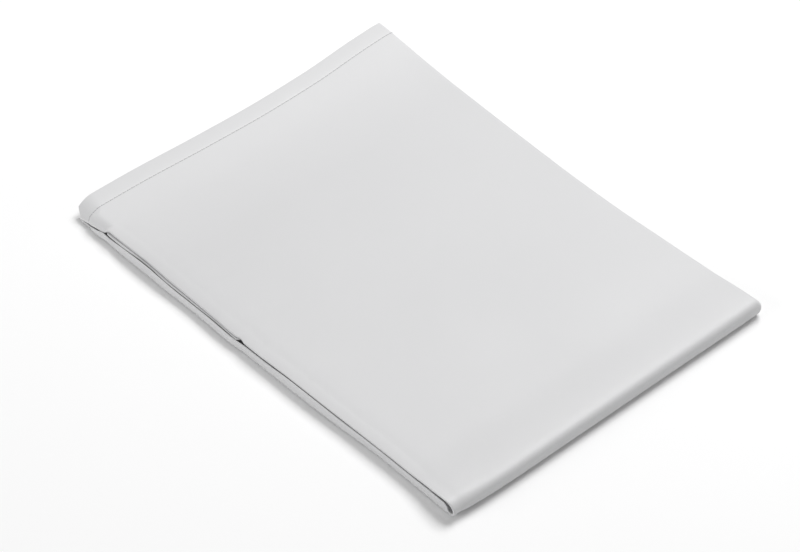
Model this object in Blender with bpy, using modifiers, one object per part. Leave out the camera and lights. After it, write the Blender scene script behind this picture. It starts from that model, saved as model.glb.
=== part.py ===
# Pillowcase, folded in quarters and lying flat.
#
# The bag is one piece of cloth: front and back panel, closed at both long sides
# and at one end, open at its hemmed end. It is folded lengthwise once, along the
# right side (+X), and then crosswise once, over the front (-Y). The hemmed mouth
# ends the top leg of that fold at the back (+Y), and the sewn-up end closes the
# bottom leg under it. Going up, the plies lie a little apart:
#
#   bottom leg   outer pair (on the surface), inner pair
#   top leg      inner pair, outer pair (the visible face)
#
# Each pair is a front and a back panel that meet in one long side of the bag. At
# the left (-X) the top leg shows the rims of its pairs, one above the other, and
# under them the bottom leg's outer pair stands up as a low wall.

import math
from collections import namedtuple

import bmesh
import bpy
from mathutils import Vector

MM = 0.001

# The cloth and its plies
PLY = 1.0 * MM                 # thickness of the cloth
AIR = 0.3 * MM                 # gap between neighbouring plies
PITCH = PLY + AIR
LEG = 4 * PLY + 3 * AIR        # four plies, half of the stack
INNER_MID = PLY + AIR / 2      # middle of the inner pair, from the leg's inner face
OUTER_MID = INNER_MID + 2 * PITCH
OUTER_TURN = (LEG - PLY) / 2   # half height of the outer ply round the lengthwise fold
INNER_TURN = PITCH / 2         # and of the inner ply, and of a pair's rim

# The folded outline
HALF_WIDTH = 127.0 * MM        # half of the reach from side to side
END_PRESS = 0.05               # share by which the sewn-up end is pressed flatter
END_RUN = 0.12                 # over this share of the bottom leg

# The hem's left corner, which rolls down over the side and is drawn in there
TUCK = 6.5 * MM
TUCK_X = -112.0 * MM           # it starts here and is full TUCK_WIDTH further left
TUCK_WIDTH = 9.0 * MM
TUCK_TOP = 0.9 * MM            # it starts at this height and is full TUCK_HEIGHT lower
TUCK_HEIGHT = 1.8 * MM
TUCK_RUN = 26.8 * MM           # it fades out over this distance from the open edge

# The crosswise fold
SWELL_RUN = 34.0 * MM          # stretch over which the top leg rises to it
FOLD_LOOSE = 1.3 * MM          # extra width of the lengthwise fold where it bends round

# Across the folded case, from left to right: where the hem and the sewn-up end lie and how
# far the crosswise fold reaches (all in Y), as crooked as a case folded by hand. loop is
# the radius of the empty space inside that fold, and room is how much further than a round
# fold its outer pair reaches.
Across = namedtuple("Across", "x hem_y nose_y end_y loop room")
OUTLINE = (
    Across(-127 * MM, 172.0 * MM, -174.2 * MM, 163.6 * MM, 1.5 * MM, 1.2 * MM),
    Across(-119 * MM, 172.2 * MM, -174.3 * MM, 167.4 * MM, 1.2 * MM, 2.6 * MM),
    Across(-90 * MM, 172.4 * MM, -174.5 * MM, 168.0 * MM, 1.0 * MM, 3.5 * MM),
    Across(-30 * MM, 170.2 * MM, -173.4 * MM, 167.5 * MM, 1.0 * MM, 3.5 * MM),
    Across(12 * MM, 169.0 * MM, -172.5 * MM, 167.0 * MM, 1.0 * MM, 3.5 * MM),
    Across(55 * MM, 170.2 * MM, -171.6 * MM, 167.5 * MM, 1.0 * MM, 3.5 * MM),
    Across(98 * MM, 173.9 * MM, -170.8 * MM, 168.0 * MM, 1.0 * MM, 3.5 * MM),
    Across(127 * MM, 174.6 * MM, -170.0 * MM, 168.0 * MM, 1.0 * MM, 3.5 * MM),
)

# Along the folded case. turn is 0 at the hem, 1 where the crosswise fold starts, 2 where it
# ends and 3 at the sewn-up end. The rims are measured inwards from the left side and the
# lengthwise fold from the right side. The outer pair bends by curl degrees over the stretch
# run beside its rim, and goes straight on for drop: down over the left side at the hem, and
# up as a low wall beside the bottom leg. The inner pair of the top leg shows as a strip up
# to 0.45 of the length, ends there in a small open notch, and lies hidden from there on,
# where the wall beside the bottom leg is higher.
Along = namedtuple("Along", "turn outer_rim curl run drop inner_rim fold_in")
SIDES = (
    Along(0.000, 3.5 * MM, 46, 12.6 * MM, 0.3 * MM, 15.0 * MM, 0.0 * MM),
    Along(0.036, 3.1 * MM, 50, 11.0 * MM, 0.4 * MM, 15.0 * MM, 0.5 * MM),
    Along(0.052, 2.7 * MM, 52, 7.0 * MM, 0.5 * MM, 12.0 * MM, 0.8 * MM),
    Along(0.070, 2.4 * MM, 34, 5.8 * MM, 0.4 * MM, 10.0 * MM, 1.0 * MM),
    Along(0.088, 2.2 * MM, 8, 4.4 * MM, 0.3 * MM, 7.5 * MM, 1.3 * MM),
    Along(0.106, 2.1 * MM, 0, 4.0 * MM, 0.3 * MM, 2.4 * MM, 1.7 * MM),
    Along(0.170, 2.0 * MM, 0, 4.0 * MM, 0.3 * MM, 2.1 * MM, 3.1 * MM),
    Along(0.300, 1.2 * MM, 0, 4.0 * MM, 0.3 * MM, 1.3 * MM, 4.9 * MM),
    Along(0.390, 0.6 * MM, 0, 4.0 * MM, 0.3 * MM, 0.8 * MM, 5.8 * MM),
    Along(0.448, 0.6 * MM, 0, 4.0 * MM, 0.3 * MM, 1.0 * MM, 6.3 * MM),
    Along(0.470, 0.7 * MM, 2, 4.5 * MM, 0.3 * MM, 7.4 * MM, 6.5 * MM),
    Along(0.540, 0.9 * MM, 4, 5.0 * MM, 0.3 * MM, 7.6 * MM, 7.0 * MM),
    Along(0.620, 1.0 * MM, 4, 5.0 * MM, 0.3 * MM, 7.6 * MM, 7.0 * MM),
    Along(0.780, 1.3 * MM, 4, 5.0 * MM, 0.3 * MM, 7.6 * MM, 5.1 * MM),
    Along(0.920, 1.8 * MM, 3, 5.0 * MM, 0.3 * MM, 7.6 * MM, 2.8 * MM),
    Along(1.000, 0.8 * MM, 0, 4.0 * MM, 0.3 * MM, 7.4 * MM, 2.2 * MM),
    Along(1.450, 0.9 * MM, 0, 4.0 * MM, 0.3 * MM, 7.2 * MM, 0.5 * MM),
    Along(1.700, 1.2 * MM, 5, 4.0 * MM, 0.3 * MM, 7.0 * MM, 0.9 * MM),
    Along(1.850, 1.5 * MM, 14, 3.8 * MM, 0.3 * MM, 7.0 * MM, 1.2 * MM),
    Along(2.000, 1.6 * MM, 28, 3.6 * MM, 0.3 * MM, 6.9 * MM, 1.4 * MM),
    Along(2.034, 1.8 * MM, 68, 3.2 * MM, 1.2 * MM, 6.7 * MM, 1.8 * MM),
    Along(2.064, 2.0 * MM, 94, 2.7 * MM, 3.6 * MM, 6.4 * MM, 2.0 * MM),
    Along(2.090, 2.1 * MM, 95, 2.7 * MM, 3.3 * MM, 6.4 * MM, 2.4 * MM),
    Along(2.200, 1.6 * MM, 96, 2.7 * MM, 3.2 * MM, 6.4 * MM, 3.2 * MM),
    Along(2.415, 0.5 * MM, 97, 2.7 * MM, 3.2 * MM, 6.4 * MM, 4.0 * MM),
    Along(2.535, 0.4 * MM, 98, 2.7 * MM, 3.2 * MM, 6.4 * MM, 4.4 * MM),
    Along(2.555, 0.2 * MM, 112, 3.1 * MM, 0.3 * MM, 6.4 * MM, 4.4 * MM),
    Along(2.640, 0.0 * MM, 112, 3.1 * MM, 0.3 * MM, 6.4 * MM, 4.2 * MM),
    Along(2.790, 0.6 * MM, 112, 3.1 * MM, 0.3 * MM, 6.4 * MM, 3.1 * MM),
    Along(2.873, 0.2 * MM, 110, 3.1 * MM, 0.3 * MM, 7.4 * MM, 2.6 * MM),
    Along(2.925, 1.0 * MM, 96, 2.8 * MM, 0.3 * MM, 9.0 * MM, 2.4 * MM),
    Along(2.955, 1.2 * MM, 72, 2.6 * MM, 0.3 * MM, 10.0 * MM, 2.3 * MM),
    Along(3.000, 0.4 * MM, 20, 3.0 * MM, 0.3 * MM, 10.0 * MM, 2.2 * MM),
)

# Soft swells of the top leg, where air lies between the folded plies.
Swell = namedtuple("Swell", "x y height reach")
SWELLS = (
    Swell(55 * MM, -95 * MM, 0.9 * MM, 70 * MM),
    Swell(-60 * MM, 60 * MM, 0.7 * MM, 60 * MM),
    Swell(100 * MM, 150 * MM, 0.8 * MM, 45 * MM),
    Swell(-30 * MM, -60 * MM, 0.5 * MM, 50 * MM),
)

# Mesh steps
FLAT_STEPS = (0.0, 0.19, 0.40, 0.62, 0.84, 1.0)    # across a ply, from the fold
CURL_STEPS = 3
FOLD_STEPS = 6                                      # round the lengthwise fold
RIM_STEPS = 3                                       # round a rim
TOP_STATIONS = (0.0, 0.018, 0.036, 0.052, 0.061, 0.070, 0.079, 0.088, 0.097, 0.106, 0.18,
                0.25, 0.32, 0.39, 0.448, 0.4535, 0.459, 0.4645, 0.470, 0.54, 0.62, 0.70, 0.78,
                0.86, 0.92, 0.96, 0.985)
LOOP_STATIONS = (1.0, 1.15, 1.3, 1.45, 1.58, 1.70, 1.78, 1.85, 1.90, 1.95, 2.0)
BOTTOM_STATIONS = (0.011, 0.022, 0.034, 0.049, 0.064, 0.09, 0.15, 0.20, 0.30, 0.415, 0.535,
                   0.542, 0.549, 0.555, 0.64, 0.72, 0.79, 0.873, 0.90, 0.925, 0.955, 0.978,
                   1.0)

CLOTH_COLOUR = (0.70, 0.70, 0.71, 1.0)
CLOTH_ROUGHNESS = 0.45


def ease(t):
    """Smooth step from 0 to 1."""
    t = min(1.0, max(0.0, t))
    return t * t * (3.0 - 2.0 * t)


def slope(rows, i, column):
    """Slope of a table's column at row i, level wherever the column turns back."""
    steps = [(high[column] - low[column]) / (high[0] - low[0])
             for low, high in zip(rows[max(0, i - 1):i + 2], rows[max(0, i - 1) + 1:i + 2])]
    before, after = steps[0], steps[-1]
    if before * after <= 0.0:
        return 0.0
    return 2.0 * before * after / (before + after)


def read(rows, where):
    """The row of a table at any place along its first column, on a smooth curve."""
    where = min(rows[-1][0], max(rows[0][0], where))
    i = max(k for k in range(len(rows) - 1) if rows[k][0] <= where)
    low, high = rows[i], rows[i + 1]
    span = high[0] - low[0]
    t = (where - low[0]) / span
    values = [where]
    for column in range(1, len(low)):
        start = low[column] + (high[column] - low[column]) * ease(t)
        leave = slope(rows, i, column) * span * t * (1.0 - t) ** 2
        arrive = slope(rows, i + 1, column) * span * t * t * (1.0 - t)
        values.append(start + leave - arrive)
    return type(low)(*values)


def flat_line(mid, start_x, end_x):
    """Level part of a pair's middle line, from the lengthwise fold to the left."""
    return [(start_x + (end_x - start_x) * step, mid, 0.0) for step in FLAT_STEPS]


def outer_line(row, rim_x, fold_x):
    """Middle line of the outer pair, from the lengthwise fold to where its rim starts.

    Gives (x, height, tilt) for each step: tilt is the angle that the line has
    turned down by, and the pair's two plies lie to both sides of the line.
    """
    bend = max(math.radians(row.curl), 1e-4)
    radius = row.run / bend
    quarter = min(bend, math.pi / 2)
    curl_x = rim_x + radius * math.sin(quarter) + row.drop * math.cos(quarter)
    points = flat_line(OUTER_MID, fold_x, curl_x)
    for step in range(1, CURL_STEPS + 1):
        tilt = bend * step / CURL_STEPS
        x = curl_x - radius * math.sin(tilt)
        points.append((x, OUTER_MID - radius * (1.0 - math.cos(tilt)), tilt))
    x, height, _ = points[-1]
    points.append((x - row.drop * math.cos(bend), height - row.drop * math.sin(bend), bend))
    return points


def beside(line, offset):
    """One ply of a pair: its middle line moved off the pair's, along the normal."""
    return [(x - math.sin(tilt) * offset, height + math.cos(tilt) * offset)
            for x, height, tilt in line]


def half_turn(centre, across, out, steps):
    """Inner points of a half turn round centre, from across, through out, to -across."""
    angles = [math.pi * step / steps for step in range(1, steps)]
    return [(centre[0] + across[0] * math.cos(a) + out[0] * math.sin(a),
             centre[1] + across[1] * math.cos(a) + out[1] * math.sin(a)) for a in angles]


def rim(line):
    """Round the end of a pair, from its inner to its outer ply."""
    x, height, tilt = line[-1]
    across = (math.sin(tilt) * INNER_TURN, -math.cos(tilt) * INNER_TURN)
    out = (-math.cos(tilt) * INNER_TURN, -math.sin(tilt) * INNER_TURN)
    return half_turn((x, height), across, out, RIM_STEPS)


def section(row):
    """The bag's closed outline across the leg, as (x, height from the inner face).

    It runs along the outer pair's outer ply, round the lengthwise fold, back along
    the inner pair, and home between them round the fold's inside.
    """
    bent = max(0.0, math.sin(math.pi * (row.turn - 1.0))) if 1.0 < row.turn < 2.0 else 0.0
    fold_out = FOLD_LOOSE * bent
    rim_start = INNER_TURN + PLY / 2 - HALF_WIDTH
    fold_x = HALF_WIDTH - row.fold_in - LEG / 2 - fold_out
    fold_mid = (fold_x, LEG / 2)
    outer = outer_line(row, row.outer_rim + rim_start, fold_x)
    inner = flat_line(INNER_MID, fold_x, row.inner_rim + rim_start)
    ring = list(reversed(beside(outer, PITCH / 2)))
    ring += half_turn(fold_mid, (0.0, OUTER_TURN), (OUTER_TURN + fold_out, 0.0), FOLD_STEPS)
    ring += beside(inner, -PITCH / 2)
    ring += rim(inner)
    ring += list(reversed(beside(inner, PITCH / 2)))
    ring += half_turn(fold_mid, (0.0, -INNER_TURN), (INNER_TURN + fold_out, 0.0), FOLD_STEPS)
    ring += beside(outer, -PITCH / 2)
    ring += rim(outer)
    return ring


def swell(x, y):
    """Height that the soft swells add to the top leg."""
    total = 0.0
    for bump in SWELLS:
        away = math.hypot(x - bump.x, y - bump.y) / bump.reach
        total += bump.height * ease(1.0 - away)
    return total


def tuck(x, height, from_hem):
    """How far the hem's rolled corner is drawn in at a point of the top leg."""
    along_it = ease(1.0 - from_hem / TUCK_RUN) ** 2
    across_it = ease((TUCK_X - x) / TUCK_WIDTH)
    return TUCK * along_it * across_it * ease((TUCK_TOP - height) / TUCK_HEIGHT)


def place(x, height, turn):
    """A point of the section carried along the crosswise fold to its real place."""
    outline = read(OUTLINE, x)
    centre_y = outline.nose_y + outline.loop + LEG + outline.room
    if turn <= 1.0:
        y = outline.hem_y + (centre_y - outline.hem_y) * turn
        y -= tuck(x, height, outline.hem_y - y)
        rise = ease(1.0 - (y - centre_y) / SWELL_RUN)
        lift = AIR + (2 * outline.loop - AIR) * rise + swell(x, y) * (1.0 - rise)
        return Vector((x, y, LEG + lift + height))
    if turn >= 2.0:
        y = centre_y + (outline.end_y - centre_y) * (turn - 2.0)
        press = END_PRESS * ease((turn - 3.0 + END_RUN) / END_RUN)
        return Vector((x, y, LEG - height - (LEG / 2 - height) * press))
    angle = math.pi * (turn - 1.0)
    up = outline.loop + height
    out = up + outline.room * ease((height - INNER_MID) / (OUTER_MID - INNER_MID))
    return Vector((x, centre_y - out * math.sin(angle),
                   LEG + outline.loop + up * math.cos(angle)))


def close_end(shape, loop):
    """Sew the front panel to the back panel across the far end."""
    panel = 2 * len(FLAT_STEPS) + CURL_STEPS + 1 + FOLD_STEPS - 1
    last = 2 * panel + RIM_STEPS - 2
    for i in range(panel - 1):
        shape.faces.new((loop[i], loop[i + 1], loop[last - i - 1], loop[last - i]))
    shape.faces.new(loop[panel - 1:panel + RIM_STEPS])
    shape.faces.new(loop[last:] + loop[:1])


def bag_surface():
    """The middle surface of the cloth, open at the hem and closed at the far end."""
    shape = bmesh.new()
    loops = []
    stations = TOP_STATIONS + LOOP_STATIONS + tuple(2.0 + part for part in BOTTOM_STATIONS)
    for turn in stations:
        ring = section(read(SIDES, turn))
        loops.append([shape.verts.new(place(x, height, turn)) for x, height in ring])
    count = len(loops[0])
    for near, far in zip(loops, loops[1:]):
        for i in range(count):
            j = (i + 1) % count
            shape.faces.new((near[i], near[j], far[j], far[i]))
    close_end(shape, loops[-1])
    bmesh.ops.recalc_face_normals(shape, faces=shape.faces)
    return shape


def cloth_material():
    """Plain light grey satin."""
    material = bpy.data.materials.new("satin")
    material.use_nodes = True
    shader = material.node_tree.nodes["Principled BSDF"]
    shader.inputs["Base Color"].default_value = CLOTH_COLOUR
    shader.inputs["Roughness"].default_value = CLOTH_ROUGHNESS
    shader.inputs["Metallic"].default_value = 0.0
    return material


def build():
    """Clear the scene and make the pillowcase in its own collection."""
    for old in list(bpy.data.objects):
        bpy.data.objects.remove(old, do_unlink=True)
    collection = bpy.data.collections.new("folded_pillowcase")
    bpy.context.scene.collection.children.link(collection)
    mesh = bpy.data.meshes.new("pillowcase")
    shape = bag_surface()
    shape.to_mesh(mesh)
    shape.free()
    mesh.materials.append(cloth_material())
    mesh.shade_smooth()
    case = bpy.data.objects.new("pillowcase", mesh)
    collection.objects.link(case)
    cloth = case.modifiers.new("cloth", "SOLIDIFY")
    cloth.thickness = PLY
    cloth.offset = 0.0
    cloth.use_even_offset = True


build()
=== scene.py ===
import math
from collections import namedtuple

import bmesh
import bpy
import numpy as np
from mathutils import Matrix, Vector


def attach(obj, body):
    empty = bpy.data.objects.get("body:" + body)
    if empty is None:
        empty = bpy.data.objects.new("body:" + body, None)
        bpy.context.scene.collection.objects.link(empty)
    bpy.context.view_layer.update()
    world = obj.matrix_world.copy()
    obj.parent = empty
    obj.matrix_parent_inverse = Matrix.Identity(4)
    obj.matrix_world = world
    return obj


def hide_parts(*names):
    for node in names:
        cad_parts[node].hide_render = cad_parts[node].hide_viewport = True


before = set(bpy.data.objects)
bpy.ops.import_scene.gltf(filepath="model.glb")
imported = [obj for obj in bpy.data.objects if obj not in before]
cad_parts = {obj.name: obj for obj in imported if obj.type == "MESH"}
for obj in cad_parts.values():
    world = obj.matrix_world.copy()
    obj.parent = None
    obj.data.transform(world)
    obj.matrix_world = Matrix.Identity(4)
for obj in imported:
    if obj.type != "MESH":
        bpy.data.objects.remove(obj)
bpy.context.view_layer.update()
print("frame loaded")

mm = 0.001
tiny = 1e-12                    # keeps a division by a length of nothing from failing

# The bag is one sheet. Its section across a leg is a closed ring: the outer pair of plies,
# the lengthwise fold at +X, and the inner pair. The ring is carried from the hem along the
# top leg, round the crosswise fold at -Y and back along the bottom leg to the sewn-up end.

cloth = {
    "thickness": 0.36 * mm,
    "halfWidth": 127.0 * mm,
    "legHeight": 4.9 * mm,      # four plies, half of the stack
    "legGap": 0.3 * mm,
    "innerMid": 1.15 * mm,      # middle of the inner pair, from the leg's inner face
    "outerMid": 3.75 * mm,
    "plyOffset": 0.95 * mm,     # from the middle of a pair to the middle of its plies
    "taperRun": 7.0 * mm,       # stretch beside a rim over which its plies close up
    "leastBend": 1e-4,          # radians, what a straight pair bends by
    "innerRun": 3.0 * mm,       # the inner pair's rim lies flat over this and over innerDrop
    "innerDrop": 1.2 * mm,
    "innerFrom": 0.076,         # turns between which the inner pair's rim shows
    "innerTo": 0.464,
    "innerComes": 0.016,        # turns that it takes to come out and to hide again
    "innerGoes": 0.012,
    "innerThin": 0.40,          # what the rim keeps of its thickness while it shows
    "innerRise": 0.42 * mm,     # how far it rises there against the outer pair
    "innerRiseFrom": 0.086,     # turn
    "foldLoose": 1.3 * mm,      # extra width of the lengthwise fold where it bends round
    "swellRun": 34.0 * mm,      # stretch over which the top leg rises to the crosswise fold
    "foldSquare": 0.28,         # 0 for a round crosswise fold, more for a flatter one
    "squareX": -122.0 * mm,     # from here on, over squareRun, it is as flat as that
    "squareRun": 30.0 * mm,
    "endPress": 0.05,           # how much flatter the bottom leg gets at its sewn-up end
    "endPressFrom": 2.88,       # turn
    "shoulderPress": 0.10,      # the leg is thinner beside its lengthwise fold
    "shoulderRun": 9.0 * mm,
    "outerSteps": 40,           # points across each ply of the outer pair
    "innerSteps": 12,
    "curlSteps": 8,
    "dropSteps": 4,
    "foldSteps": 13,
    "rimSteps": 8,
    "edgeBias": 0.75,           # how much closer the points across a ply get at both ends
    "measuredRing": 10,         # the ring that gives the weave's place round the bag
}

hem = {
    "width": 12.2 * mm,         # from the open edge to the stitches
    "layerGap": 0.54 * mm,      # between the middles of the hem's two layers
    "layerShort": 0.3 * mm,     # the inner layer ends this far before the stitches
    "turnSteps": 6,
    "lift": 0.32,               # share by which the doubled plies make the leg thicker
    "liftRun": 42.0 * mm,
    "grooveDepth": 0.16 * mm,
    "grooveWidth": 0.45 * mm,
    "plumpness": 0.12 * mm,     # the doubled cloth swells between its edge and the stitches
    "plumpShape": 0.7,          # less for a fuller swell
    "reliefRun": 20.0 * mm,     # stretch from the open edge that has the swell and the groove
    "tuck": 5.8 * mm,           # how far the rolled corner of the mouth is drawn in
    "tuckX": -112 * mm,         # it starts here and is full after tuckRun
    "tuckRun": 9.0 * mm,
    "tuckReach": 26.84 * mm,    # from the open edge
    "tuckTop": 1.6 * mm,        # it starts below this height and is full tuckDrop lower
    "tuckDrop": 3.2 * mm,
}

# Where the hem, the front of the crosswise fold and the sewn-up end lie at each x. loop is the
# radius of the empty space inside that fold, and room is how much further than a round fold
# the outer pair reaches.
across = namedtuple("across", "x hemY noseY endY loop room")
outline = (
    across(-127 * mm, 172.0 * mm, -174.2 * mm, 163.6 * mm, 1.5 * mm, 1.2 * mm),
    across(-119 * mm, 170.7 * mm, -174.3 * mm, 167.4 * mm, 1.2 * mm, 2.6 * mm),
    across(-90 * mm, 170.6 * mm, -174.5 * mm, 168.0 * mm, 1.0 * mm, 3.5 * mm),
    across(-30 * mm, 168.4 * mm, -173.4 * mm, 167.5 * mm, 1.0 * mm, 3.5 * mm),
    across(12 * mm, 167.5 * mm, -172.5 * mm, 167.0 * mm, 1.0 * mm, 3.5 * mm),
    across(55 * mm, 168.7 * mm, -171.6 * mm, 167.5 * mm, 1.0 * mm, 3.5 * mm),
    across(98 * mm, 171.9 * mm, -170.8 * mm, 168.0 * mm, 1.0 * mm, 3.5 * mm),
    across(127 * mm, 173.9 * mm, -170.0 * mm, 168.0 * mm, 1.0 * mm, 3.5 * mm),
)

# turn is 0 at the hem, 1 and 2 at the two ends of the crosswise fold, 3 at the sewn end.
# outerRim, innerRim and foldIn are how far in from the sides the rims of the two pairs and the
# lengthwise fold lie. The outer pair bends by curl degrees over the stretch run and goes
# straight on for drop, down over the side at the hem and up as a wall beside the bottom leg.
# thin is what its rim keeps of its thickness.
along = namedtuple("along", "turn outerRim curl run drop thin innerRim foldIn")
sides = (
    along(0.000, 1.3 * mm, 50, 13.7 * mm, 0.6 * mm, 1.00, 15.0 * mm, 0.0 * mm),
    along(0.036, 1.5 * mm, 50, 11.0 * mm, 0.5 * mm, 1.00, 15.0 * mm, 0.5 * mm),
    along(0.050, 0.8 * mm, 55, 6.8 * mm, 1.0 * mm, 0.90, 12.0 * mm, 0.8 * mm),
    along(0.062, 1.2 * mm, 56, 6.3 * mm, 0.8 * mm, 0.80, 9.0 * mm, 1.0 * mm),
    along(0.074, 1.5 * mm, 56, 6.2 * mm, 0.8 * mm, 0.80, 7.0 * mm, 1.2 * mm),
    along(0.083, 2.0 * mm, 52, 6.0 * mm, 0.6 * mm, 0.80, 5.0 * mm, 1.4 * mm),
    along(0.090, 2.5 * mm, 16, 5.6 * mm, 0.3 * mm, 0.65, 2.5 * mm, 1.5 * mm),
    along(0.096, 2.8 * mm, 8, 6.0 * mm, 0.3 * mm, 0.60, 1.6 * mm, 1.6 * mm),
    along(0.105, 2.8 * mm, 8, 6.0 * mm, 0.3 * mm, 0.60, 1.4 * mm, 1.8 * mm),
    along(0.136, 3.0 * mm, 13, 6.5 * mm, 0.3 * mm, 0.60, 1.3 * mm, 2.4 * mm),
    along(0.191, 3.2 * mm, 13, 6.5 * mm, 0.3 * mm, 0.60, 2.1 * mm, 3.4 * mm),
    along(0.220, 3.0 * mm, 13, 6.5 * mm, 0.3 * mm, 0.60, 1.9 * mm, 3.9 * mm),
    along(0.262, 2.4 * mm, 13, 6.5 * mm, 0.3 * mm, 0.60, 1.1 * mm, 4.4 * mm),
    along(0.302, 2.2 * mm, 13, 6.5 * mm, 0.3 * mm, 0.60, 1.2 * mm, 4.9 * mm),
    along(0.386, 1.7 * mm, 13, 6.5 * mm, 0.3 * mm, 0.60, 1.1 * mm, 5.8 * mm),
    along(0.441, 1.1 * mm, 12, 6.5 * mm, 0.3 * mm, 0.60, 0.5 * mm, 6.2 * mm),
    along(0.453, 1.2 * mm, 11, 6.5 * mm, 0.3 * mm, 0.55, 0.4 * mm, 6.4 * mm),
    along(0.459, 1.9 * mm, 11, 6.5 * mm, 0.3 * mm, 0.50, 2.8 * mm, 6.4 * mm),
    along(0.466, 1.5 * mm, 11, 6.5 * mm, 0.3 * mm, 0.45, 6.6 * mm, 6.5 * mm),
    along(0.475, 0.7 * mm, 11, 6.5 * mm, 0.3 * mm, 0.45, 7.4 * mm, 6.5 * mm),
    along(0.506, 0.6 * mm, 11, 6.5 * mm, 0.3 * mm, 0.45, 7.6 * mm, 6.8 * mm),
    along(0.546, 0.9 * mm, 11, 6.5 * mm, 0.3 * mm, 0.45, 7.6 * mm, 7.0 * mm),
    along(0.586, 1.3 * mm, 11, 6.5 * mm, 0.3 * mm, 0.45, 7.6 * mm, 7.0 * mm),
    along(0.677, 1.5 * mm, 11, 6.5 * mm, 0.3 * mm, 0.45, 7.6 * mm, 6.6 * mm),
    along(0.777, 2.0 * mm, 11, 6.5 * mm, 0.3 * mm, 0.45, 7.6 * mm, 5.1 * mm),
    along(0.850, 2.2 * mm, 11, 6.5 * mm, 0.3 * mm, 0.45, 7.6 * mm, 4.0 * mm),
    along(0.900, 1.9 * mm, 8, 6.0 * mm, 0.3 * mm, 0.45, 7.6 * mm, 3.1 * mm),
    along(0.931, 1.6 * mm, 5, 5.0 * mm, 0.3 * mm, 0.45, 7.6 * mm, 2.7 * mm),
    along(0.973, 0.5 * mm, 1, 4.0 * mm, 0.3 * mm, 0.45, 7.5 * mm, 2.4 * mm),
    along(1.000, 0.3 * mm, 0, 4.0 * mm, 0.3 * mm, 0.45, 7.4 * mm, 2.2 * mm),
    along(1.500, 0.6 * mm, 0, 4.0 * mm, 0.3 * mm, 0.45, 7.2 * mm, 0.5 * mm),
    along(1.740, 1.2 * mm, 0, 4.0 * mm, 0.3 * mm, 0.45, 7.0 * mm, 1.0 * mm),
    along(1.890, 1.3 * mm, 66, 2.4 * mm, 0.5 * mm, 0.40, 7.0 * mm, 1.2 * mm),
    along(1.910, 1.4 * mm, 90, 1.8 * mm, 1.2 * mm, 0.35, 7.0 * mm, 1.2 * mm),
    along(1.930, 1.5 * mm, 90, 1.6 * mm, 2.6 * mm, 0.35, 7.0 * mm, 1.2 * mm),
    along(2.000, 1.5 * mm, 90, 1.6 * mm, 3.0 * mm, 0.35, 6.9 * mm, 1.4 * mm),
    along(2.008, 1.5 * mm, 90, 1.6 * mm, 4.6 * mm, 0.35, 6.8 * mm, 1.7 * mm),
    along(2.028, 1.5 * mm, 90, 1.6 * mm, 4.7 * mm, 0.35, 6.6 * mm, 1.9 * mm),
    along(2.045, 1.8 * mm, 90, 1.6 * mm, 4.5 * mm, 0.35, 6.4 * mm, 2.0 * mm),
    along(2.071, 1.9 * mm, 90, 1.6 * mm, 4.3 * mm, 0.35, 6.4 * mm, 2.2 * mm),
    along(2.124, 2.1 * mm, 90, 1.6 * mm, 4.0 * mm, 0.35, 6.4 * mm, 2.7 * mm),
    along(2.177, 2.3 * mm, 90, 1.6 * mm, 3.9 * mm, 0.35, 6.4 * mm, 3.1 * mm),
    along(2.279, 1.0 * mm, 90, 1.6 * mm, 4.9 * mm, 0.35, 6.4 * mm, 3.6 * mm),
    along(2.331, 0.4 * mm, 90, 1.6 * mm, 5.2 * mm, 0.35, 6.4 * mm, 3.8 * mm),
    along(2.384, 0.1 * mm, 90, 1.6 * mm, 5.4 * mm, 0.35, 6.4 * mm, 4.0 * mm),
    along(2.425, 0.0 * mm, 90, 1.6 * mm, 5.3 * mm, 0.35, 6.4 * mm, 4.1 * mm),
    along(2.465, 0.0 * mm, 90, 1.6 * mm, 4.8 * mm, 0.35, 6.4 * mm, 4.2 * mm),
    along(2.534, 0.0 * mm, 90, 1.6 * mm, 4.4 * mm, 0.35, 6.4 * mm, 4.4 * mm),
    along(2.557, -0.4 * mm, 90, 1.6 * mm, 3.8 * mm, 0.35, 6.4 * mm, 4.4 * mm),
    along(2.578, -0.8 * mm, 90, 1.6 * mm, 4.1 * mm, 0.35, 6.4 * mm, 4.4 * mm),
    along(2.630, -0.4 * mm, 90, 1.6 * mm, 4.3 * mm, 0.35, 6.4 * mm, 4.2 * mm),
    along(2.674, 0.1 * mm, 90, 1.6 * mm, 3.8 * mm, 0.35, 6.4 * mm, 4.0 * mm),
    along(2.716, 0.0 * mm, 90, 1.6 * mm, 3.8 * mm, 0.35, 6.4 * mm, 3.7 * mm),
    along(2.757, -0.3 * mm, 90, 1.6 * mm, 4.3 * mm, 0.35, 6.4 * mm, 3.3 * mm),
    along(2.815, 0.0 * mm, 90, 1.6 * mm, 5.1 * mm, 0.35, 6.4 * mm, 3.0 * mm),
    along(2.886, 0.0 * mm, 90, 1.6 * mm, 4.1 * mm, 0.35, 7.4 * mm, 2.6 * mm),
    along(2.918, 0.6 * mm, 90, 1.6 * mm, 3.2 * mm, 0.35, 8.6 * mm, 2.4 * mm),
    along(2.938, 0.6 * mm, 90, 1.6 * mm, 3.3 * mm, 0.35, 9.0 * mm, 2.4 * mm),
    along(2.953, 0.0 * mm, 90, 1.6 * mm, 2.4 * mm, 0.35, 9.4 * mm, 2.4 * mm),
    along(2.964, 0.1 * mm, 90, 1.7 * mm, 1.7 * mm, 0.38, 9.8 * mm, 2.3 * mm),
    along(2.977, 0.7 * mm, 60, 2.0 * mm, 0.4 * mm, 0.38, 10.0 * mm, 2.3 * mm),
    along(2.989, 1.2 * mm, 8, 3.0 * mm, 0.3 * mm, 0.40, 10.0 * mm, 2.3 * mm),
    along(3.000, 1.4 * mm, 0, 3.0 * mm, 0.3 * mm, 0.50, 10.0 * mm, 2.2 * mm),
)

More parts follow.
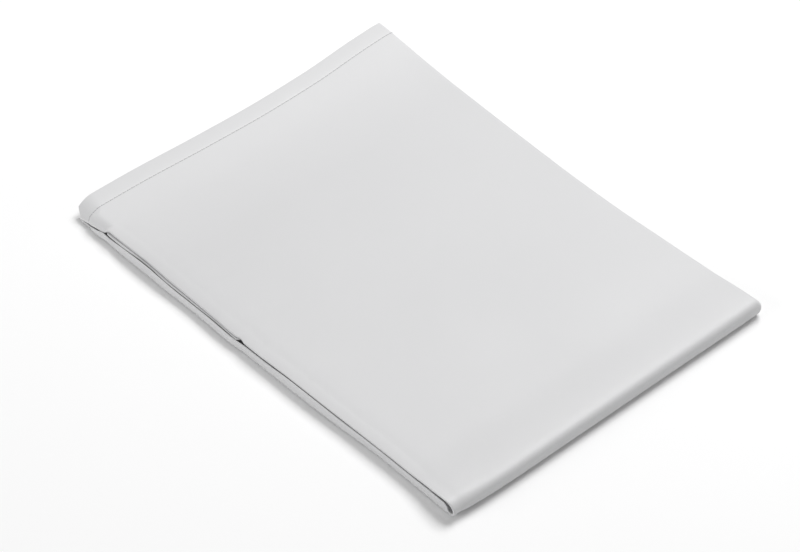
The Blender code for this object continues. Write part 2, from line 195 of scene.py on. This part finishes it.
# where air lies between the plies of the top leg
swell = namedtuple("swell", "x y height reach")
swells = (
    swell(55 * mm, -95 * mm, 0.9 * mm, 70 * mm),
    swell(-60 * mm, 60 * mm, 0.7 * mm, 60 * mm),
    swell(100 * mm, 150 * mm, 0.8 * mm, 45 * mm),
    swell(92 * mm, -150 * mm, 0.5 * mm, 40 * mm),
    swell(-30 * mm, -60 * mm, 0.5 * mm, 50 * mm),
)

# soft troughs (height below 0) and ridges of the top face, each along a straight run
crease = namedtuple("crease", "x1 y1 x2 y2 width height")
creases = (
    crease(-118 * mm, 30 * mm, -96 * mm, 22 * mm, 5.0 * mm, -0.16 * mm),
    crease(-119 * mm, -34 * mm, -92 * mm, -46 * mm, 6.0 * mm, -0.14 * mm),
    crease(-112 * mm, -150 * mm, -84 * mm, -132 * mm, 6.0 * mm, -0.20 * mm),
    crease(96 * mm, -152 * mm, 74 * mm, -128 * mm, 8.0 * mm, -0.20 * mm),
)

# Where the rings stand, evenly from first to last of each stretch: in mm from the hem on the
# top leg, in turns round the crosswise fold, and in shares of the bottom leg.
stretch = namedtuple("stretch", "first last count")
topStretches = (
    stretch(0.0, 0.6, 2),
    stretch(2.0, 9.5, 4),
    stretch(11.0, 11.6, 2),
    stretch(11.9, 12.5, 5),     # the groove of the stitches
    stretch(12.8, 13.4, 2),
    stretch(14.4, 15.4, 2),
    stretch(16.1, 35.0, 28),    # the end of the hem's roll
    stretch(37.4, 142.4, 26),
    stretch(147.0, 162.2, 20),  # the end of the inner pair's rim
    stretch(165.0, 295.0, 27),
    stretch(296.0, 335.0, 16),
)
foldStretches = (
    stretch(1.00, 1.72, 18),
    stretch(1.75, 1.85, 6),
    stretch(1.87, 1.94, 8),
    stretch(1.96, 2.00, 3),
)
bottomStretches = (
    stretch(0.003, 0.012, 4),
    stretch(0.020, 0.030, 2),
    stretch(0.045, 0.510, 18),
    stretch(0.527, 0.580, 15),
    stretch(0.600, 0.900, 13),
    stretch(0.915, 0.960, 6),
    stretch(0.965, 1.000, 12),
)

# The strips that close the sewn-up end: each one's share of the way from the front panel to
# the back one, and how far it stands out, in plyOffsets.
strip = namedtuple("strip", "share bulge")
endStrips = (strip(0.2, 0.62), strip(0.5, 0.90), strip(0.8, 0.62))
print("tables ready")


def slopes(xs, ys):
    # slopes of a table's column, level wherever the column turns back
    steps = np.diff(ys) / np.diff(xs)
    before, after = steps[:-1], steps[1:]
    same = before * after > 0
    total = np.where(same, before + after, 1.0)
    inner = np.where(same, 2 * before * after / total, 0.0)
    return np.concatenate(([steps[0]], inner, [steps[-1]]))


def readColumn(rows, column, at):
    # a column of a table at any places along its first one, on a smooth curve
    xs = np.array([row[0] for row in rows])
    ys = np.array([getattr(row, column) for row in rows])
    lean = slopes(xs, ys)
    at = np.clip(np.asarray(at, float), xs[0], xs[-1])
    i = np.clip(np.searchsorted(xs, at, side="right") - 1, 0, len(xs) - 2)
    span = xs[i + 1] - xs[i]
    t = (at - xs[i]) / span
    middle = ys[i] + (ys[i + 1] - ys[i]) * t * t * (3 - 2 * t)
    return middle + lean[i] * span * t * (1 - t) ** 2 - lean[i + 1] * span * t * t * (1 - t)


def ease(t):
    t = np.clip(t, 0.0, 1.0)
    return t * t * (3 - 2 * t)


def flatSteps(count):
    # shares of the way across, closer together at both ends
    t = np.linspace(0, 1, count)
    bias = cloth["edgeBias"]
    return bias * (0.5 - 0.5 * np.cos(math.pi * t)) + (1 - bias) * t


def places(stretches):
    return np.concatenate([np.linspace(s.first, s.last, s.count) for s in stretches])


def nearestRing(path, distance):
    return int(np.argmin(np.abs(path - distance)))


def pairLine(mid, rimX, curl, run, drop, thin, foldX, count, rise=0.0):
    # a pair's middle line from the lengthwise fold to its rim: x, height, downward tilt and
    # the distance from there to the middles of its plies
    bend = max(math.radians(curl), cloth["leastBend"])
    radius = run / bend
    quarter = min(bend, math.pi / 2)
    curlX = rimX + radius * math.sin(quarter) + drop * math.cos(quarter)
    flatX = foldX + (curlX - foldX) * flatSteps(count)
    tilt = bend * np.arange(1, cloth["curlSteps"] + 1) / cloth["curlSteps"]
    further = drop * np.arange(1, cloth["dropSteps"] + 1) / cloth["dropSteps"]
    xs = np.concatenate((flatX, curlX - radius * np.sin(tilt)))
    xs = np.concatenate((xs, xs[-1] - further * math.cos(bend)))
    heights = np.concatenate((np.full(count, mid), mid - radius * (1 - np.cos(tilt))))
    heights = np.concatenate((heights, heights[-1] - further * math.sin(bend)))
    tilts = np.concatenate((np.zeros(count), tilt, np.full(len(further), bend)))
    taper = np.ones_like(xs)
    taper[:count] = ease(1 - (flatX - curlX) / cloth["taperRun"])
    apart = cloth["plyOffset"] * (1 - (1 - thin) * taper)
    return np.stack((xs, heights + rise * taper, tilts, apart), 1)


def beside(line, side):
    # one ply of a pair, on the upper side (1) or the lower side (-1) of its middle line
    x, height, tilt, apart = line.T
    return np.stack((x - np.sin(tilt) * apart * side, height + np.cos(tilt) * apart * side), 1)


def halfTurn(centre, start, out, steps):
    # inner points of a half turn round centre, from start, through out, to -start
    angle = (math.pi * np.arange(1, steps) / steps)[:, None]
    return np.array(centre) + np.array(start) * np.cos(angle) + np.array(out) * np.sin(angle)


def rim(line):
    x, height, tilt, reach = line[-1]
    start = (math.sin(tilt) * reach, -math.cos(tilt) * reach)
    out = (-math.cos(tilt) * reach, -math.sin(tilt) * reach)
    return halfTurn((x, height), start, out, cloth["rimSteps"])


def ringAt(turn):
    # the ring of one station, as rows of x and height above the leg's inner face
    side = {name: float(readColumn(sides, name, turn)) for name in along._fields[1:]}
    bent = math.sin(math.pi * (turn - 1)) if 1 < turn < 2 else 0.0
    out = cloth["foldLoose"] * bent
    half = cloth["legHeight"] / 2
    ply = cloth["plyOffset"]
    rimStart = ply * side["thin"] + cloth["thickness"] / 2 - cloth["halfWidth"]
    foldX = cloth["halfWidth"] - side["foldIn"] - half - out
    outer = pairLine(cloth["outerMid"], side["outerRim"] + rimStart, side["curl"], side["run"],
                     side["drop"], side["thin"], foldX, cloth["outerSteps"])
    shown = float(ease((turn - cloth["innerFrom"]) / cloth["innerComes"])
                  * ease((cloth["innerTo"] - turn) / cloth["innerGoes"]))
    risen = shown * float(ease((turn - cloth["innerRiseFrom"]) / cloth["innerComes"]))
    innerThin = 1 - (1 - cloth["innerThin"]) * shown
    innerStart = ply * innerThin + cloth["thickness"] / 2 - cloth["halfWidth"]
    inner = pairLine(cloth["innerMid"], side["innerRim"] + innerStart, 0, cloth["innerRun"],
                     cloth["innerDrop"], innerThin, foldX, cloth["innerSteps"],
                     cloth["innerRise"] * risen)
    outerTurn = cloth["outerMid"] + ply - half
    innerTurn = cloth["outerMid"] - ply - half
    foldMid = (foldX, half)
    steps = cloth["foldSteps"]
    return np.concatenate((
        beside(outer, 1)[::-1],
        halfTurn(foldMid, (0, outerTurn), (outerTurn + out, 0), steps),
        beside(inner, -1),
        rim(inner),
        beside(inner, 1)[::-1],
        halfTurn(foldMid, (0, -innerTurn), (innerTurn + out, 0), steps),
        beside(outer, -1),
        rim(outer),
    ))


def relief(x, y):
    # swells and creases of the top leg
    total = np.zeros_like(x)
    for s in swells:
        total += s.height * ease(1 - np.hypot(x - s.x, y - s.y) / s.reach)
    for c in creases:
        runX, runY = c.x2 - c.x1, c.y2 - c.y1
        length = math.hypot(runX, runY)
        share = ((x - c.x1) * runX + (y - c.y1) * runY) / length ** 2
        away = np.abs((x - c.x1) * runY - (y - c.y1) * runX) / length
        past = length * np.maximum(0, np.abs(share - 0.5) - 0.5)
        total += c.height * np.exp(-(away / c.width) ** 2 - (past / (2 * c.width)) ** 2)
    return total


def placeRing(ring, turn):
    # carries a ring to its real place along the crosswise fold
    x, height = ring.T
    hemY = readColumn(outline, "hemY", x)
    endY = readColumn(outline, "endY", x)
    radius = readColumn(outline, "loop", x)
    room = readColumn(outline, "room", x)
    leg, gap = cloth["legHeight"], cloth["legGap"]
    centreY = readColumn(outline, "noseY", x) + radius + leg + room
    if turn <= 1:
        y = hemY + (centreY - hemY) * turn
        fade = ease(1 - (hemY - y) / hem["tuckReach"])
        corner = ease((hem["tuckX"] - x) / hem["tuckRun"])
        low = ease((hem["tuckTop"] - height) / hem["tuckDrop"])
        y = y - hem["tuck"] * fade ** 2 * corner * low
        rise = ease(1 - (y - centreY) / cloth["swellRun"])
        lift = gap + (2 * radius - gap) * rise + relief(x, y) * (1 - rise) * height / leg
        thicker = 1 + hem["lift"] * ease(1 - (hemY - y) / hem["liftRun"])
        run = cloth["shoulderRun"]
        edge = ease(1 - (cloth["halfWidth"] - x) / run)
        pressed = 1 - cloth["shoulderPress"] * edge * (1 - rise)
        grow = np.where(height > 0, thicker * pressed, 1.0)
        return np.stack((x, y, leg + lift + height * grow), 1)
    if turn >= 2:
        y = centreY + (endY - centreY) * (turn - 2)
        start = cloth["endPressFrom"]
        press = cloth["endPress"] * float(ease((turn - start) / (3 - start)))
        return np.stack((x, y, leg - height - (leg / 2 - height) * press), 1)
    angle = math.pi * (turn - 1)
    power = 1 - cloth["foldSquare"] * ease((x - cloth["squareX"]) / cloth["squareRun"])
    outShare = math.sin(angle) ** power
    upShare = abs(math.cos(angle)) ** power * (1 if turn < 1.5 else -1)
    up = radius + height
    span = cloth["outerMid"] - cloth["innerMid"]
    out = up + room * ease((height - cloth["innerMid"]) / span)
    return np.stack((x, centreY - out * outShare, leg + radius + up * upShare), 1)


def normalsOf(grid):
    # unit normals of a grid of rings, from its neighbours, pointing out of the bag
    sideways = np.roll(grid, -1, 1) - np.roll(grid, 1, 1)
    forward = np.gradient(grid, axis=0)
    n = np.cross(forward, sideways)
    return n / np.maximum(np.linalg.norm(n, axis=2, keepdims=True), tiny)


def hemRelief(distance):
    # how far the outer layer of the hem stands proud, at a distance from its edge
    width = hem["width"]
    plump = np.sin(math.pi * np.clip(distance / width, 0, 1)) ** hem["plumpShape"]
    groove = hem["grooveDepth"] * np.exp(-((distance - width) / hem["grooveWidth"]) ** 2)
    return hem["plumpness"] * plump - groove


def clothGrid():
    # all rings of the cloth's middle surface, with the distance from the hem of each one
    first = outline[0]
    legLength = first.hemY - first.noseY - first.loop - first.room - cloth["legHeight"]
    turns = np.concatenate((places(topStretches) * mm / legLength, places(foldStretches),
                            2 + places(bottomStretches)))
    rings = np.array([placeRing(ringAt(turn), turn) for turn in turns])
    normals = normalsOf(rings)
    middle = rings[:, cloth["outerSteps"] // 2]
    path = np.concatenate(([0], np.cumsum(np.linalg.norm(np.diff(middle, axis=0), axis=1))))
    topPly = np.zeros(rings.shape[1])
    topPly[:cloth["outerSteps"] + cloth["curlSteps"] + cloth["dropSteps"]] = 1.0
    proud = np.where(path < hem["reliefRun"], hemRelief(path), 0.0)
    rings += normals * proud[:, None, None] * topPly[None, :, None]
    return rings, normals, path


def hemRings(rings, normals, path):
    # the hem's inner layer, from its end at the stitches to the open edge, and the turn there
    gap = hem["layerGap"]
    layers = []
    for i in range(nearestRing(path, hem["width"] - hem["layerShort"]), 0, -1):
        layers.append(rings[i] - normals[i] * gap)
    edge, edgeNormal = rings[0], normals[0]
    forward = rings[1] - rings[0]
    forward /= np.linalg.norm(forward, axis=1, keepdims=True)
    for step in range(hem["turnSteps"]):
        angle = math.pi * step / hem["turnSteps"]
        layers.append(edge - edgeNormal * (gap / 2) * (1 + math.cos(angle))
                      - forward * (gap / 2) * math.sin(angle))
    return np.array(layers)


def closeEnd(shape, ring):
    # sews the front panel to the back panel across the far end, with a rounded strip
    panel = cloth["outerSteps"] + cloth["innerSteps"] + cloth["foldSteps"] - 1
    panel += 2 * (cloth["curlSteps"] + cloth["dropSteps"])
    last = 2 * panel + cloth["rimSteps"] - 2
    strips = [ring[:panel]]
    for one in endStrips:
        points = []
        for i in range(panel):
            place = ring[i].co.lerp(ring[last - i].co, one.share)
            place.y += one.bulge * cloth["plyOffset"]
            points.append(shape.verts.new(place))
        strips.append(points)
    strips.append([ring[last - i] for i in range(panel)])
    for near, far in zip(strips, strips[1:]):
        for i in range(panel - 1):
            shape.faces.new((near[i], near[i + 1], far[i + 1], far[i]))
    shape.faces.new([s[-1] for s in strips] + ring[last - panel:panel - 1:-1])
    shape.faces.new([s[0] for s in reversed(strips)] + ring[:last:-1])


def makeObject(shape, name):
    # the bmesh as a smooth object in the scene, with its faces turned outwards
    bmesh.ops.recalc_face_normals(shape, faces=shape.faces)
    mesh = bpy.data.meshes.new(name)
    shape.to_mesh(mesh)
    shape.free()
    mesh.shade_smooth()
    thing = bpy.data.objects.new(name, mesh)
    bpy.context.scene.collection.objects.link(thing)
    return thing


def makeCloth(rings, inner, path):
    # uv holds a place on the flat cloth: metres round the bag and from the hem's open edge
    shape = bmesh.new()
    uvLayer = shape.loops.layers.uv.new("clothPlace")
    grid = np.concatenate((inner, rings))
    distance = np.concatenate((-np.linspace(hem["width"], 0, len(inner)), path))
    count = grid.shape[1]
    measured = rings[cloth["measuredRing"]]
    ringStep = np.linalg.norm(np.roll(measured, -1, 0) - measured, axis=1)
    around = np.concatenate(([0], np.cumsum(ringStep)))
    loops = [[shape.verts.new(p) for p in ring] for ring in grid]
    for i in range(len(grid) - 1):
        for j in range(count):
            k = (j + 1) % count
            face = shape.faces.new((loops[i][j], loops[i][k], loops[i + 1][k], loops[i + 1][j]))
            corners = ((j, i), (j + 1, i), (j + 1, i + 1), (j, i + 1))
            for loop, (a, b) in zip(face.loops, corners):
                loop[uvLayer].uv = (around[a], distance[b])
    closeEnd(shape, loops[-1])
    case = makeObject(shape, "folded_case")
    thick = case.modifiers.new("thickness", "SOLIDIFY")
    thick.thickness = cloth["thickness"]
    thick.offset = 0.0
    thick.use_even_offset = False
    return case


rings, normals, path = clothGrid()
folded = makeCloth(rings, hemRings(rings, normals, path), path)
print("cloth made:", len(folded.data.polygons), "faces before its thickness")

# the stitches of the hem
stitches = {
    "pitch": 3.4 * mm,
    "length": 2.7 * mm,
    "radius": 0.17 * mm,
    "proud": 0.02 * mm,         # how far the thread's middle stands off the cloth
    "dive": 1.7,                # how deep its ends go down, in radii
    "diveThin": 0.45,           # share of its thickness that it loses there
    "divePower": 4,             # more for a flatter middle
    "sides": 6,
    "steps": 6,
    "tangentStep": 0.1 * mm,
}


def stitchLine(rings, normals, path):
    # the outer surface at the stitches, as a closed line round the bag with its normals
    i = nearestRing(path, hem["width"])
    line = rings[i] + normals[i] * (cloth["thickness"] / 2 + stitches["proud"])
    line = np.concatenate((line, line[:1]))
    normal = np.concatenate((normals[i], normals[i][:1]))
    around = np.concatenate(([0], np.cumsum(np.linalg.norm(np.diff(line, axis=0), axis=1))))
    return line, normal, around


def makeStitches(rings, normals, path):
    line, normal, around = stitchLine(rings, normals, path)

    def at(values, where):
        return np.array([np.interp(where, around, values[:, k]) for k in range(3)])

    shape = bmesh.new()
    count = int(around[-1] / stitches["pitch"])
    for s in range(count):
        first = s * stitches["pitch"]
        previous = None
        for step in range(stitches["steps"] + 1):
            t = step / stitches["steps"]
            where = first + stitches["length"] * t
            centre, up = at(line, where), at(normal, where)
            up /= np.linalg.norm(up)
            ahead = stitches["tangentStep"]
            go = at(line, where + ahead) - at(line, where - ahead)
            go /= max(np.linalg.norm(go), tiny)
            side = np.cross(go, up)
            dive = abs(2 * t - 1) ** stitches["divePower"]
            centre = centre - up * dive * stitches["dive"] * stitches["radius"]
            radius = stitches["radius"] * (1 - stitches["diveThin"] * dive)
            ring = []
            for k in range(stitches["sides"]):
                angle = 2 * math.pi * k / stitches["sides"]
                spot = centre + radius * (side * math.cos(angle) + up * math.sin(angle))
                ring.append(shape.verts.new(spot))
            if previous is None:
                shape.faces.new(ring[::-1])
            else:
                for k in range(len(ring)):
                    m = (k + 1) % len(ring)
                    shape.faces.new((previous[k], previous[m], ring[m], ring[k]))
            previous = ring
        shape.faces.new(previous)
    return makeObject(shape, "hem_stitches")


thread = makeStitches(rings, normals, path)
print("stitches made")

satin = {
    "colour": (0.640, 0.640, 0.646, 1.0),
    "shadedColour": (0.605, 0.605, 0.613, 1.0),
    "shadedShare": 0.5,          # the most that it gets, as each share below
    "patchSize": 70 * mm,        # of the slow change from one to the other
    "patchSoftness": 0.4,
    # painted sheen: the cloth is made lighter near the hem, where the satin catches the light
    "hemSheenColour": (0.675, 0.675, 0.681, 1.0),
    "hemSheenReach": 70 * mm,         # from the stitches, where this painted sheen ends
    "grooveShadeColour": (0.45, 0.45, 0.46, 1.0),  # painted shade in the groove along the line of stitches
    "grooveShadeShare": 0.25,
    "grooveShadeWidth": 0.55 * mm,     # at each side of the stitches
    # painted shade in the needle holes
    "holeShadeColour": (0.12, 0.12, 0.13, 1.0),
    "holeShadeShare": 0.9,
    "holeRadius": 0.60 * mm,
    "puckerDepth": 0.12 * mm,    # at each needle hole
    "roughness": (0.39, 0.47),   # least and most
    "floatLength": 1.1,          # mm, the satin's long threads
    "floatWidth": 0.2,           # mm
    "floatGap": 0.035,           # mm
    "rowShift": 0.4,             # of each row of threads against the last, in threads
    "weaveDepth": 0.012 * mm,
    "rippleSize": 30 * mm,
    "rippleSoftness": 0.3,
    "rippleDepth": 0.10 * mm,
    "sheen": 0.20,
    "sheenRoughness": 0.35,
    "specular": 0.5,
}
threadFinish = {
    "colour": (0.36, 0.36, 0.37, 1.0),
    "shadedColour": (0.31, 0.31, 0.32, 1.0),
    "shadedShare": 0.5,
    "patchSize": 4 * mm,
    "patchSoftness": 0.6,
    "roughness": (0.45, 0.65),   # least and most
}


def makeGroup(name, inputs, outputs):
    # an empty node group; inputs are (name, kind, value) and outputs (name, kind)
    group = bpy.data.node_groups.new(name, "ShaderNodeTree")
    for label, kind, value in inputs:
        socket = group.interface.new_socket(label, in_out="INPUT", socket_type=kind)
        if value is not None:
            socket.default_value = value
    for label, kind in outputs:
        group.interface.new_socket(label, in_out="OUTPUT", socket_type=kind)
    return group, group.nodes.new("NodeGroupInput"), group.nodes.new("NodeGroupOutput")


def feed(tree, socket, value):
    # sets a number or colour on a socket, or links an output to it
    if isinstance(value, (int, float, tuple)):
        socket.default_value = value
    else:
        tree.links.new(value, socket)


def mathNode(tree, operation, *values):
    node = tree.nodes.new("ShaderNodeMath")
    node.operation = operation
    for socket, value in zip(node.inputs, values):
        feed(tree, socket, value)
    return node.outputs[0]


def useGroup(tree, group, values):
    node = tree.nodes.new("ShaderNodeGroup")
    node.node_tree = group
    for name, value in values.items():
        feed(tree, node.inputs[name], value)
    return node


def mixColour(tree, factor, first, second):
    # a colour mix has its factor and its two colours at the sockets 0, 6 and 7
    node = tree.nodes.new("ShaderNodeMix")
    node.data_type = "RGBA"
    for index, value in ((0, factor), (6, first), (7, second)):
        feed(tree, node.inputs[index], value)
    return node.outputs[2]


def ranged(tree, value, low, high):
    # spreads a mask from 0 to 1 between two other values
    node = tree.nodes.new("ShaderNodeMapRange")
    node.inputs["To Min"].default_value = low
    node.inputs["To Max"].default_value = high
    tree.links.new(value, node.inputs["Value"])
    return node.outputs["Result"]


def weaveGroup():
    # satin floats: long thin threads, each row shifted against the last
    group, given, out = makeGroup("satinWeave", (
        ("Place", "NodeSocketVector", None),
        ("Float Length", "NodeSocketFloat", satin["floatLength"]),
        ("Float Width", "NodeSocketFloat", satin["floatWidth"]),
        ("Float Gap", "NodeSocketFloat", satin["floatGap"]),
    ), (("Height", "NodeSocketFloat"),))
    links = group.links
    inMm = group.nodes.new("ShaderNodeVectorMath")
    inMm.operation = "SCALE"
    inMm.inputs["Scale"].default_value = 1 / mm
    links.new(given.outputs["Place"], inMm.inputs[0])
    floats = group.nodes.new("ShaderNodeTexBrick")
    floats.offset = satin["rowShift"]
    floats.offset_frequency = 1
    floats.inputs["Scale"].default_value = 1.0
    floats.inputs["Mortar Smooth"].default_value = 1.0
    links.new(inMm.outputs[0], floats.inputs["Vector"])
    links.new(given.outputs["Float Gap"], floats.inputs["Mortar Size"])
    links.new(given.outputs["Float Length"], floats.inputs["Brick Width"])
    links.new(given.outputs["Float Width"], floats.inputs["Row Height"])
    ridge = mathNode(group, "SUBTRACT", 1.0, floats.outputs["Fac"])
    links.new(ridge, out.inputs["Height"])
    return group


def driftGroup():
    # slow uneven change over the surface, for colour and for soft ripples
    group, given, out = makeGroup("slowDrift", (
        ("Place", "NodeSocketVector", None),
        ("Patch Size", "NodeSocketFloat", satin["patchSize"]),
        ("Softness", "NodeSocketFloat", satin["patchSoftness"]),
    ), (("Mask", "NodeSocketFloat"),))
    links = group.links
    noise = group.nodes.new("ShaderNodeTexNoise")
    noise.inputs["Detail"].default_value = 2.0
    links.new(given.outputs["Place"], noise.inputs["Vector"])
    scale = mathNode(group, "DIVIDE", 1.0, given.outputs["Patch Size"])
    links.new(scale, noise.inputs["Scale"])
    links.new(given.outputs["Softness"], noise.inputs["Roughness"])
    links.new(noise.outputs["Fac"], out.inputs["Mask"])
    return group


def needleGroup():
    # masks of the needle holes, of the pinched line of stitches and of the cloth near it; they
    # give the pucker at the holes, the painted shade in the holes and along the groove, and the
    # painted sheen near the hem
    group, given, out = makeGroup("needleLine", (
        ("Place", "NodeSocketVector", None),
        ("Line", "NodeSocketFloat", hem["width"]),
        ("Pitch", "NodeSocketFloat", stitches["pitch"]),
        ("Hole Shift", "NodeSocketFloat", 0.0),
        ("Hole Radius", "NodeSocketFloat", satin["holeRadius"]),
        ("Groove Shade Width", "NodeSocketFloat", satin["grooveShadeWidth"]),
        ("Reach", "NodeSocketFloat", satin["hemSheenReach"]),
    ), (("Holes", "NodeSocketFloat"), ("Groove Shade", "NodeSocketFloat"),
        ("Hem Sheen Mask", "NodeSocketFloat")))
    links = group.links
    split = group.nodes.new("ShaderNodeSeparateXYZ")
    links.new(given.outputs["Place"], split.inputs[0])
    off = mathNode(group, "ABSOLUTE", mathNode(
        group, "SUBTRACT", mathNode(group, "ABSOLUTE", split.outputs["Y"]),
        given.outputs["Line"]))
    shifted = mathNode(group, "SUBTRACT", split.outputs["X"], given.outputs["Hole Shift"])
    turn = mathNode(group, "PINGPONG", shifted, mathNode(
        group, "MULTIPLY", given.outputs["Pitch"], 0.5))
    fromHole = mathNode(group, "SQRT", mathNode(
        group, "ADD", mathNode(group, "POWER", off, 2.0), mathNode(group, "POWER", turn, 2.0)))
    for name, away, size in (("Holes", fromHole, "Hole Radius"), ("Groove Shade", off, "Groove Shade Width"),
                             ("Hem Sheen Mask", off, "Reach")):
        part = mathNode(group, "DIVIDE", away, given.outputs[size])
        kept = group.nodes.new("ShaderNodeClamp")
        links.new(mathNode(group, "SUBTRACT", 1.0, part), kept.inputs["Value"])
        links.new(kept.outputs[0], out.inputs[name])
    return group


weave = weaveGroup()
drift = driftGroup()
needle = needleGroup()


def newMaterial(name):
    material = bpy.data.materials.new(name)
    material.use_nodes = True
    tree = material.node_tree
    return material, tree, tree.nodes["Principled BSDF"]


def satinMaterial():
    material, tree, shader = newMaterial("greySatin")
    place = tree.nodes.new("ShaderNodeUVMap")
    place.uv_map = "clothPlace"
    space = tree.nodes.new("ShaderNodeTexCoord").outputs["Object"]
    woven = useGroup(tree, weave, {
        "Place": place.outputs[0],
        "Float Length": satin["floatLength"],
        "Float Width": satin["floatWidth"],
        "Float Gap": satin["floatGap"],
    })
    patches = useGroup(tree, drift, {
        "Place": space,
        "Patch Size": satin["patchSize"],
        "Softness": satin["patchSoftness"],
    })
    ripples = useGroup(tree, drift, {
        "Place": space,
        "Patch Size": satin["rippleSize"],
        "Softness": satin["rippleSoftness"],
    })
    line = useGroup(tree, needle, {
        "Place": place.outputs[0],
        "Line": hem["width"],
        "Pitch": stitches["pitch"],
        "Hole Shift": (stitches["length"] - stitches["pitch"]) / 2,
        "Hole Radius": satin["holeRadius"],
        "Groove Shade Width": satin["grooveShadeWidth"],
        "Reach": satin["hemSheenReach"],
    })
    shaded = ranged(tree, patches.outputs["Mask"], 0.0, satin["shadedShare"])
    grooveShaded = ranged(tree, line.outputs["Groove Shade"], 0.0, satin["grooveShadeShare"])
    holeShaded = ranged(tree, line.outputs["Holes"], 0.0, satin["holeShadeShare"])
    colour = mixColour(tree, shaded, satin["colour"], satin["shadedColour"])
    # painted sheen, lighter near the hem
    colour = mixColour(tree, line.outputs["Hem Sheen Mask"], colour, satin["hemSheenColour"])
    # painted shade in the groove of the stitches
    colour = mixColour(tree, grooveShaded, colour, satin["grooveShadeColour"])
    # painted shade in the needle holes
    colour = mixColour(tree, holeShaded, colour, satin["holeShadeColour"])
    tree.links.new(colour, shader.inputs["Base Color"])
    tree.links.new(ranged(tree, patches.outputs["Mask"], *satin["roughness"]),
                   shader.inputs["Roughness"])
    weaveHeight = mathNode(tree, "MULTIPLY", woven.outputs["Height"], satin["weaveDepth"])
    rippleHeight = mathNode(tree, "MULTIPLY", ripples.outputs["Mask"], satin["rippleDepth"])
    pucker = mathNode(tree, "MULTIPLY", line.outputs["Holes"], satin["puckerDepth"])
    height = mathNode(tree, "SUBTRACT", mathNode(tree, "ADD", weaveHeight, rippleHeight), pucker)
    bump = tree.nodes.new("ShaderNodeBump")
    bump.inputs["Strength"].default_value = 1.0
    bump.inputs["Distance"].default_value = 1.0
    tree.links.new(height, bump.inputs["Height"])
    tree.links.new(bump.outputs[0], shader.inputs["Normal"])
    shader.inputs["Sheen Weight"].default_value = satin["sheen"]
    shader.inputs["Sheen Roughness"].default_value = satin["sheenRoughness"]
    shader.inputs["Specular IOR Level"].default_value = satin["specular"]
    return material


def threadMaterial():
    material, tree, shader = newMaterial("hemThread")
    space = tree.nodes.new("ShaderNodeTexCoord").outputs["Object"]
    patches = useGroup(tree, drift, {
        "Place": space,
        "Patch Size": threadFinish["patchSize"],
        "Softness": threadFinish["patchSoftness"],
    })
    shaded = ranged(tree, patches.outputs["Mask"], 0.0, threadFinish["shadedShare"])
    colour = mixColour(tree, shaded, threadFinish["colour"], threadFinish["shadedColour"])
    tree.links.new(colour, shader.inputs["Base Color"])
    tree.links.new(ranged(tree, patches.outputs["Mask"], *threadFinish["roughness"]),
                   shader.inputs["Roughness"])
    return material


folded.data.materials.append(satinMaterial())
thread.data.materials.append(threadMaterial())
print("finishes made")

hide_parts("pillowcase")
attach(folded, "root")
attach(thread, "root")

studio = {
    "floorSize": 40.0,
    "floorColour": (0.94, 0.94, 0.94, 1.0),
    "floorRoughness": 0.9,
    "skyColour": (1.0, 1.0, 1.0, 1.0),
    "skyStrength": 0.37,
}
# soft lamps: where each one stands from the case, its width and its power
lamp = namedtuple("lamp", "name direction distance size power")
lamps = (
    lamp("keyLight", (0.57, 0.14, 0.81), 2.3, 1.3, 44.5),
    lamp("leftFill", (-0.90, 0.20, 0.32), 2.4, 1.5, 19.0),
)
photoCamera = {
    "focalPixels": 5074.0,
    "imageWidth": 800.0,
    "sensorWidth": 36.0,
    "azimuth": -41.81,
    "elevation": 43.35,
    "distance": 3.058,
    "target": Vector((-0.0127, -0.0002, 0.0)),
}


def makeFloor():
    bpy.ops.mesh.primitive_plane_add(size=studio["floorSize"])
    floor = bpy.context.object
    floor.name = "studio_floor"
    material, tree, shader = newMaterial("paleFloor")
    shader.inputs["Base Color"].default_value = studio["floorColour"]
    shader.inputs["Roughness"].default_value = studio["floorRoughness"]
    floor.data.materials.append(material)


def standBack(name, data, target, direction, distance):
    # a lamp or camera that looks at target from a direction
    thing = bpy.data.objects.new(name, data)
    thing.location = target + direction * distance
    thing.rotation_mode = "QUATERNION"
    thing.rotation_quaternion = direction.to_track_quat("Z", "Y")
    bpy.context.scene.collection.objects.link(thing)
    return thing


def makeLights():
    world = bpy.data.worlds.new("studioSky")
    bpy.context.scene.world = world
    world.use_nodes = True
    sky = world.node_tree.nodes["Background"]
    sky.inputs["Color"].default_value = studio["skyColour"]
    sky.inputs["Strength"].default_value = studio["skyStrength"]
    for one in lamps:
        light = bpy.data.lights.new(one.name, "AREA")
        light.shape = "SQUARE"
        light.size = one.size
        light.energy = one.power
        standBack(one.name, light, Vector(), Vector(one.direction).normalized(), one.distance)


def makeCamera():
    a = math.radians(photoCamera["azimuth"])
    e = math.radians(photoCamera["elevation"])
    back = Vector((math.sin(a) * math.cos(e), -math.cos(a) * math.cos(e), math.sin(e)))
    lens = bpy.data.cameras.new("photoCamera")
    lens.sensor_width = photoCamera["sensorWidth"]
    lens.lens = lens.sensor_width * photoCamera["focalPixels"] / photoCamera["imageWidth"]
    bpy.context.scene.camera = standBack("photoCamera", lens, photoCamera["target"], back,
                                         photoCamera["distance"])


makeFloor()
makeLights()
makeCamera()
bpy.context.scene.view_settings.view_transform = "Standard"
print("studio ready")
